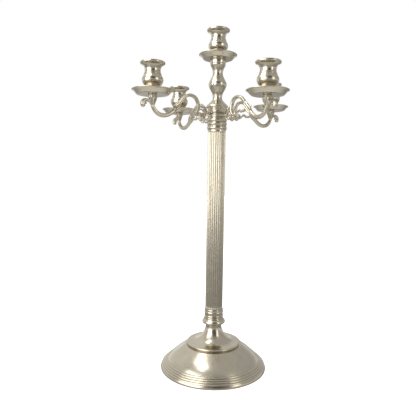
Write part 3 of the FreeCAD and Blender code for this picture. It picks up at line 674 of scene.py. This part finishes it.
def arm_mesh(mesh):
    """One arm in its own plane, in mm: u outward from the column, w above the ring's middle."""
    reach = ARM
    # thick reeded horn from the socket through the dip to the calyx
    horn = [(reach, 6.0, 3.3, 3.5), (reach - 0.3, 2.0, 3.4, 3.6), (reach - 2.6, -3.0, 3.6, 3.8),
            (reach - 7.2, -8.2, 3.9, 4.1), (reach - 13.8, -12.0, 4.0, 4.2), (reach - 21.4, -13.2, 4.0, 4.2),
            (reach - 29.6, -11.6, 4.0, 4.2), (reach - 37.2, -7.4, 4.0, 4.2), (reach - 44.0, -1.6, 4.1, 4.3),
            (reach - 49.0, 3.6, 4.2, 4.4), (reach - 52.2, 7.4, 4.3, 4.6)]
    strand(mesh, horn, per_span=7, sides=40, reeds=8, depth=0.15)
    # calyx: pointed leaves that clasp the horn's end
    for side, lift in ((-3.2, 2.2), (3.2, 2.2), (0.0, 5.0), (-3.0, -3.0), (3.0, -3.0)):
        strand(mesh, [(reach - 42.0, -2.6 + lift, 1.0, 1.4, side * 0.7),
                      (reach - 46.6, 2.0 + lift, 2.0, 2.4, side),
                      (reach - 51.2, 6.6 + lift, 2.0, 2.2, side * 1.2),
                      (reach - 55.6, 11.6 + lift * 1.3, 0.7, 0.8, side * 1.5)], per_span=5, sides=14)
    strand(mesh, [(reach - 47.5, 3.6, 1.9, 2.2), (reach - 43.4, 7.2, 1.8, 2.0),
                  (reach - 39.2, 8.6, 0.6, 0.7)], sides=14)
    # slender arch that rises from the calyx, swells into a ribbon and falls to the foot of the loop
    arch = [(reach - 50.0, 4.8, 3.1, 3.1), (reach - 56.0, 12.6, 3.1, 3.2), (reach - 62.6, 20.8, 3.1, 3.3),
            (reach - 70.6, 27.0, 3.1, 3.4), (reach - 80.0, 28.8, 3.1, 3.5), (reach - 89.0, 25.6, 3.2, 3.6),
            (reach - 94.6, 18.2, 3.0, 3.6), (reach - 96.2, 10.2, 3.0, 3.7), (reach - 95.4, 3.0, 2.9, 3.6),
            (reach - 92.4, -1.6, 2.5, 3.4), (reach - 88.0, -2.6, 2.2, 3.0), (reach - 85.2, -0.2, 1.9, 2.6),
            (reach - 85.6, 3.2, 1.7, 2.3), (reach - 88.6, 4.2, 1.5, 2.0)]
    strand(mesh, arch, per_span=7, sides=32, reeds=4, depth=0.14, flat=2.8)
    for side in (-1, 1):
        bead = [(u, w, high * 0.5, 0.8, side * wide * 0.82) for u, w, high, wide in arch[3:12]]
        strand(mesh, bead, per_span=6, sides=12)
    # low scroll from the loop's foot back to the calyx, with a volute where it crests
    strand(mesh, [(reach - 91.0, -3.2, 1.8, 2.4), (reach - 84.6, -3.2, 2.0, 2.4),
                  (reach - 79.4, 0.6, 2.0, 2.3), (reach - 74.4, 3.2, 2.0, 2.3), (reach - 69.6, 2.6, 1.9, 2.2),
                  (reach - 65.2, 1.0, 1.9, 2.2), (reach - 59.6, 1.6, 2.0, 2.3), (reach - 54.4, 3.6, 2.2, 2.5),
                  (reach - 49.4, 4.4, 2.4, 2.7)],
           per_span=6, sides=24, reeds=4, depth=0.12, flat=2.4)
    blob(mesh, reach - 74.0, 0.0, 4.6, (3.0, 2.7, 1.7), 0.2)
    blob(mesh, reach - 68.6, 0.0, 0.2, (2.0, 2.2, 1.4))
    blob(mesh, reach - 61.4, 0.0, 3.3, (2.4, 2.2, 1.3), -0.3)
    # foliage under the loop's foot
    blob(mesh, reach - 104.4, 0.0, -7.0, (4.4, 3.2, 3.5), -0.5)
    blob(mesh, reach - 99.2, 0.0, -5.0, (3.6, 2.9, 2.9), 0.3)
    blob(mesh, reach - 91.4, 0.0, -6.3, (4.2, 2.9, 2.5), 0.35)
    blob(mesh, reach - 111.0, 0.0, -3.8, (4.6, 3.0, 2.5), -0.5)
    strand(mesh, [(reach - 113.0, -1.4, 1.6, 2.6), (reach - 107.0, -4.6, 2.0, 2.8),
                  (reach - 100.0, -3.2, 2.1, 2.8), (reach - 94.0, -3.0, 2.2, 2.8),
                  (reach - 88.0, -5.0, 1.6, 2.2)], sides=20, reeds=4, depth=0.14)
    # root: lug to the hub's ring and the upright leaf
    strand(mesh, [(14.5, 0.0, 1.7, 4.6), (20.0, -0.2, 1.8, 3.9), (25.0, -1.2, 2.0, 3.2),
                  (30.5, -2.4, 2.0, 3.0), (37.0, -2.8, 2.0, 2.9), (43.0, -2.4, 2.1, 2.9)],
           sides=20, flat=3.0)
    leaf(mesh, [(23.5, -0.6, 2.4), (26.0, 3.4, 3.0), (28.2, 7.6, 3.3), (31.4, 11.0, 3.3), (35.0, 12.2, 2.8),
                (38.0, 11.0, 2.0), (39.4, 8.6, 1.2)], 1.7)
    strand(mesh, [(28.0, -2.6, 1.5, 2.4), (31.2, 2.0, 1.5, 2.4), (35.6, 5.0, 1.4, 2.2), (39.8, 5.2, 1.3, 2.2),
                  (43.4, 3.8, 1.3, 2.2)], sides=16)
    blob(mesh, 33.6, 0.0, 10.0, (3.0, 3.0, 2.3), 0.2)
    # tulip socket with pointed petals
    petals = 6

    def scallop(angle, w):
        strength = min(max((w - 6.0) / 8.0, 0.0), 1.0) * min(max((19.2 - w) / 2.0, 0.0), 1.0)
        return 1 + 0.055 * strength * math.cos(petals * angle)

    solid_turned(mesh, [(3.3, 2.6), (3.7, 4.4), (4.4, 7.0), (5.4, 9.8), (6.5, 12.6), (7.4, 15.2), (8.0, 17.2),
                        (8.05, 17.9), (7.4, 18.2), (7.4, 18.8), (8.1, 19.1), (8.2, 19.8), (7.9, 20.3)],
                 reach, around=60, ripple=scallop)
    for number in range(petals):
        angle = 2 * math.pi * (number + 0.5) / petals
        rows = [(3.6, 3.6, 0.9), (4.9, 7.4, 1.3), (6.6, 12.0, 1.5), (7.7, 15.4, 1.1), (8.0, 17.0, 0.5)]
        made = bmesh.new()
        strand(made, [(r, w, 0.7, half) for r, w, half in rows], sides=12)
        made.transform(Matrix.Translation((reach, 0, 0)) @ Matrix.Rotation(angle, 4, "Z"))
        absorb(mesh, made)
    # finial: a leaf that leaves the socket, curls out and down, and ends in a drop
    strand(mesh, [(reach + 1.5, 5.0, 2.2, 2.8), (reach + 6.0, 8.6, 2.5, 3.2), (reach + 11.2, 10.2, 2.9, 3.6),
                  (reach + 16.0, 9.0, 3.5, 4.0), (reach + 18.6, 5.8, 4.0, 4.3), (reach + 19.2, 2.4, 3.9, 4.2),
                  (reach + 17.8, -0.4, 3.0, 3.4)], per_span=6, sides=28, reeds=5, depth=0.13, flat=2.3)
    blob(mesh, reach + 18.2, 0.0, 0.9, (3.9, 4.2, 3.6))
    blob(mesh, reach + 13.6, 0.0, 4.6, (2.2, 3.4, 2.0), 0.4)


def absorb(mesh, other):
    """Move everything in the other bmesh into this one."""
    data = bpy.data.meshes.new("part")
    other.to_mesh(data)
    other.free()
    mesh.from_mesh(data)
    bpy.data.meshes.remove(data)


def make_casting(name, branch, turn, cast, body):
    """Double casting, fused from its ribs and leaves and eased all over.

    Its ring is solid: the tie rod passes hidden inside it, so no hole is cut.
    """
    middle = RING_LEVEL[branch]
    whole = bmesh.new()
    for side in (0.0, math.pi):
        arm = bmesh.new()
        arm_mesh(arm)
        arm.transform(Matrix.Rotation(turn + side, 4, "Z"))
        absorb(whole, arm)
    ring = bmesh.new()
    half = RING_HEIGHT / 2
    edge = RING_RADIUS
    groove = RING_GROOVES[branch]
    solid_turned(ring, [(edge - groove, -half), (edge - groove, -half + 2.1), (edge - 0.3, -half + 2.5),
                        (edge, half - 0.8), (edge - 0.3, half)], 0.0, around=96)
    absorb(whole, ring)
    whole.transform(Matrix.Scale(MM, 4) @ Matrix.Translation((0, 0, middle)))
    data = bpy.data.meshes.new(name)
    whole.to_mesh(data)
    whole.free()
    made = bpy.data.objects.new(name, data)
    bpy.context.scene.collection.objects.link(made)
    fuse(made, CASTING_VOXEL * MM)
    keep_hub_flat(made, middle)
    finish_piece(made, cast, body, branch, gain=1.3)


def fuse(made, voxel):
    """One skin over all the overlapping ribs, lightly smoothed."""
    remesh = made.modifiers.new("fuse", "REMESH")
    remesh.mode = "VOXEL"
    remesh.voxel_size = voxel
    ease = made.modifiers.new("ease", "SMOOTH")
    ease.factor = 0.5
    ease.iterations = 3
    graph = bpy.context.evaluated_depsgraph_get()
    data = bpy.data.meshes.new_from_object(made.evaluated_get(graph))
    made.modifiers.clear()
    made.data = data
    smooth_shade(made)


def keep_hub_flat(made, middle):
    """Hold the ring's two faces at their true height after the smoothing, so that the rings don't overlap."""
    half = RING_HEIGHT / 2 * MM
    for vertex in made.data.vertices:
        if math.hypot(vertex.co.x, vertex.co.y) < (RING_RADIUS + HUB_MARGIN) * MM:
            vertex.co.z = min(max(vertex.co.z, middle * MM - half), middle * MM + half)


# ---------------------------------------------------------------- stage
VIEW_TURN = 0.6358          # turn of the photograph's view about the column, in radians
CAMERA_DISTANCE = 0.8477    # metres from the column's axis
CAMERA_HEIGHT = 0.38139
CAMERA_YAW, CAMERA_PITCH, CAMERA_ROLL = 0.01744, 0.07443, 0.01582
SENSOR_WIDTH, LENS = 36.0, 37.41                # mm
FLOOR_SIDE, FLOOR_CUTS = 12.0, 12
PAPER = (0.93, 0.93, 0.93)
PAPER_GLOW = 0.9
WHITE = (1.0, 1.0, 1.0)

# The room that the metal reflects: brightness from straight down (0) over level (0.5) to straight up (1).
ROOM = [(0.0, 1.05), (0.12, 0.92), (0.24, 0.56), (0.36, 0.34), (0.41, 0.46), (0.46, 0.80), (0.50, 1.0),
        (0.53, 0.92), (0.57, 0.66), (0.65, 0.56), (0.80, 0.62), (1.0, 0.66)]
# Patches in it: degrees from the way to the camera to the right and up, cosines of the outer and inner edge,
# and how much darker (the first) or brighter (the others) the room is there. They are fixed in the world.
DARK_SIDE = (14.0, 26.0), 0.84, 0.95, 0.80
BACKDROP = (-145.0, 28.0), 0.55, 0.92, 0.40
TABLE = (-48.0, -20.0), 0.93, 0.985, 0.35


def paper_material():
    """Matt paper with a faint mottle. It glows, so that the floor meets the background without a horizon."""
    material, tree, shader = new_material("paper")
    coords = tree.nodes.new("ShaderNodeTexCoord").outputs["Object"]
    mottle = noise(tree, coords, 6.0, 3.0)
    low = tuple(0.985 * part for part in PAPER)
    link(tree, mix_colour(tree, mottle, low, PAPER), shader.inputs["Base Color"])
    shader.inputs["Roughness"].default_value = 0.9
    shader.inputs["Specular IOR Level"].default_value = 0.1
    shader.inputs["Emission Color"].default_value = (*WHITE, 1.0)
    shader.inputs["Emission Strength"].default_value = PAPER_GLOW
    return material


def make_floor():
    """Plain floor. The metal doesn't reflect it: the lower half of the room stands in for it there."""
    mesh = bmesh.new()
    bmesh.ops.create_grid(mesh, x_segments=FLOOR_CUTS, y_segments=FLOOR_CUTS, size=FLOOR_SIDE / 2)
    data = bpy.data.meshes.new("floor")
    mesh.to_mesh(data)
    mesh.free()
    floor = bpy.data.objects.new("floor", data)
    bpy.context.scene.collection.objects.link(floor)
    floor.data.materials.append(paper_material())
    floor.visible_glossy = False


def around_view(side, depth, height):
    """A place given as the photograph's camera sees it: to its right, away from it, and up, in metres."""
    turn = -VIEW_TURN
    return (side * math.cos(turn) - depth * math.sin(turn),
            side * math.sin(turn) + depth * math.cos(turn), height)


def towards(side_deg, up_deg):
    """A direction from the column: degrees to the right of the way to the photograph's camera, and up."""
    side, up = math.radians(side_deg), math.radians(up_deg)
    return Vector(around_view(math.sin(side) * math.cos(up), -math.cos(side) * math.cos(up), math.sin(up)))


def patch(tree, direction, aim, outer, inner, share):
    """The share near the aim, falling to 0 outside. The aim is in degrees, outer and inner are cosines."""
    dot = tree.nodes.new("ShaderNodeVectorMath")
    dot.operation = "DOT_PRODUCT"
    link(tree, direction, dot.inputs[0])
    dot.inputs[1].default_value = towards(*aim)
    near = ramp(tree, dot.outputs["Value"], [(outer, 0.0), (inner, 1.0)])
    return math_node(tree, "MULTIPLY", near, share)


def make_world():
    """White to the camera. In reflections: a room that is bright at eye level and dim overhead."""
    world = bpy.data.worlds.new("studio")
    bpy.context.scene.world = world
    world.use_nodes = True
    tree = world.node_tree
    tree.nodes.clear()
    out = tree.nodes.new("ShaderNodeOutputWorld")
    path = tree.nodes.new("ShaderNodeLightPath")
    seen = tree.nodes.new("ShaderNodeBackground")
    seen.inputs["Color"].default_value = (*WHITE, 1.0)
    seen.inputs["Strength"].default_value = 1.0
    room = tree.nodes.new("ShaderNodeBackground")
    direction = tree.nodes.new("ShaderNodeTexCoord").outputs["Generated"]
    split = tree.nodes.new("ShaderNodeSeparateXYZ")
    link(tree, direction, split.inputs[0])
    height = math_node(tree, "ADD", math_node(tree, "MULTIPLY", split.outputs["Z"], 0.5), 0.5)
    shade = ramp(tree, height, ROOM)
    kept = math_node(tree, "SUBTRACT", 1.0, patch(tree, direction, *DARK_SIDE))
    shade = math_node(tree, "MULTIPLY", shade, kept)
    for bright in (BACKDROP, TABLE):
        shade = math_node(tree, "ADD", shade, patch(tree, direction, *bright))
    link(tree, shade, room.inputs["Strength"])
    both = tree.nodes.new("ShaderNodeMixShader")
    link(tree, path.outputs["Is Camera Ray"], both.inputs[0])
    link(tree, room.outputs[0], both.inputs[1])
    link(tree, seen.outputs[0], both.inputs[2])
    link(tree, both.outputs[0], out.inputs[0])


def panel(name, side_deg, up_deg, distance, size, radiance, aim=(0.0, 0.0, 0.42), tint=WHITE):
    """A softbox that faces the aim from a direction and distance, as bright as the radiance says."""
    light = bpy.data.lights.new(name, "AREA")
    light.shape = "RECTANGLE"
    light.size, light.size_y = size
    light.energy = math.pi * size[0] * size[1] * radiance
    light.color = tint
    made = bpy.data.objects.new(name, light)
    made.location = Vector(aim) + towards(side_deg, up_deg) * distance
    made.rotation_euler = (Vector(aim) - made.location).to_track_quat("-Z", "Y").to_euler()
    made.visible_camera = False
    bpy.context.scene.collection.objects.link(made)


def make_camera():
    """The photograph's viewpoint: level with the upper part of the column and tilted 4 degrees down."""
    data = bpy.data.cameras.new("camera")
    data.sensor_width = SENSOR_WIDTH
    data.lens = LENS
    data.clip_start, data.clip_end = 0.05, 50.0
    camera = bpy.data.objects.new("camera", data)
    right = Vector((math.cos(CAMERA_YAW), math.sin(CAMERA_YAW), 0.0))
    ahead = Vector((-math.sin(CAMERA_YAW), math.cos(CAMERA_YAW), 0.0))
    forward = ahead * math.cos(CAMERA_PITCH) - Vector((0, 0, 1)) * math.sin(CAMERA_PITCH)
    up = right.cross(forward)
    turned_right = right * math.cos(CAMERA_ROLL) + up * math.sin(CAMERA_ROLL)
    turned_up = up * math.cos(CAMERA_ROLL) - right * math.sin(CAMERA_ROLL)
    pose = Matrix((turned_right, turned_up, -forward)).transposed().to_4x4()
    pose.translation = Vector((0.0, -CAMERA_DISTANCE, CAMERA_HEIGHT))
    camera.matrix_world = Matrix.Rotation(-VIEW_TURN, 4, "Z") @ pose
    bpy.context.scene.collection.objects.link(camera)
    bpy.context.scene.camera = camera


# ---------------------------------------------------------------- the object
def make_object():
    """All pieces. The CAD nodes that keep their shape get materials of their own."""
    sheet = plated("nickel_sheet", (0.0, 0.0, 0.0), rough=0.21, grime_and_shade=0.8)
    cast = plated("nickel_turned", (0.31, 0.17, 0.05), rough=0.21, grime_and_shade=0.6)
    branch_metal = plated("nickel_cast", (0.62, 0.41, 0.2), rough=0.28, grime_and_shade=0.65, turned=False)
    make_base(sheet)
    make_column_parts(cast, sheet)
    make_stem_parts(cast)
    for place, body in HOLDERS.items():
        make_holder(place, body, cast)
    make_casting("lower_casting", "lower_branch", math.pi / 2, branch_metal, "lower_arms")
    make_casting("upper_casting", "upper_branch", 0.0, branch_metal, "upper_arms")
    plain = {"base_ballast": ballast_material(), "base_felt": felt_material()}
    zinc = zinc_material()
    for name, item in frame["nodes"].items():
        item.data.materials.clear()
        if name in plain:
            item.data.materials.append(plain[name])
        elif name.endswith("_screw") or name in ("tie_rod", "base_washer", "base_nut"):
            item.data.materials.append(zinc)
        else:
            item.data.materials.append(cast)


make_object()
make_floor()
make_world()
make_camera()
panel("key_low", side_deg=-48.0, up_deg=15.0, distance=1.5, size=(1.40, 1.40), radiance=2.6)
panel("key_high", side_deg=-68.0, up_deg=69.0, distance=1.2, size=(0.54, 0.32), radiance=4.0,
      aim=(0.0, 0.0, 0.03))
panel("fill", side_deg=50.0, up_deg=14.0, distance=1.5, size=(0.46, 1.05), radiance=1.8,
      tint=(1.0, 0.96, 0.88))
bpy.context.scene.view_settings.view_transform = "Standard"
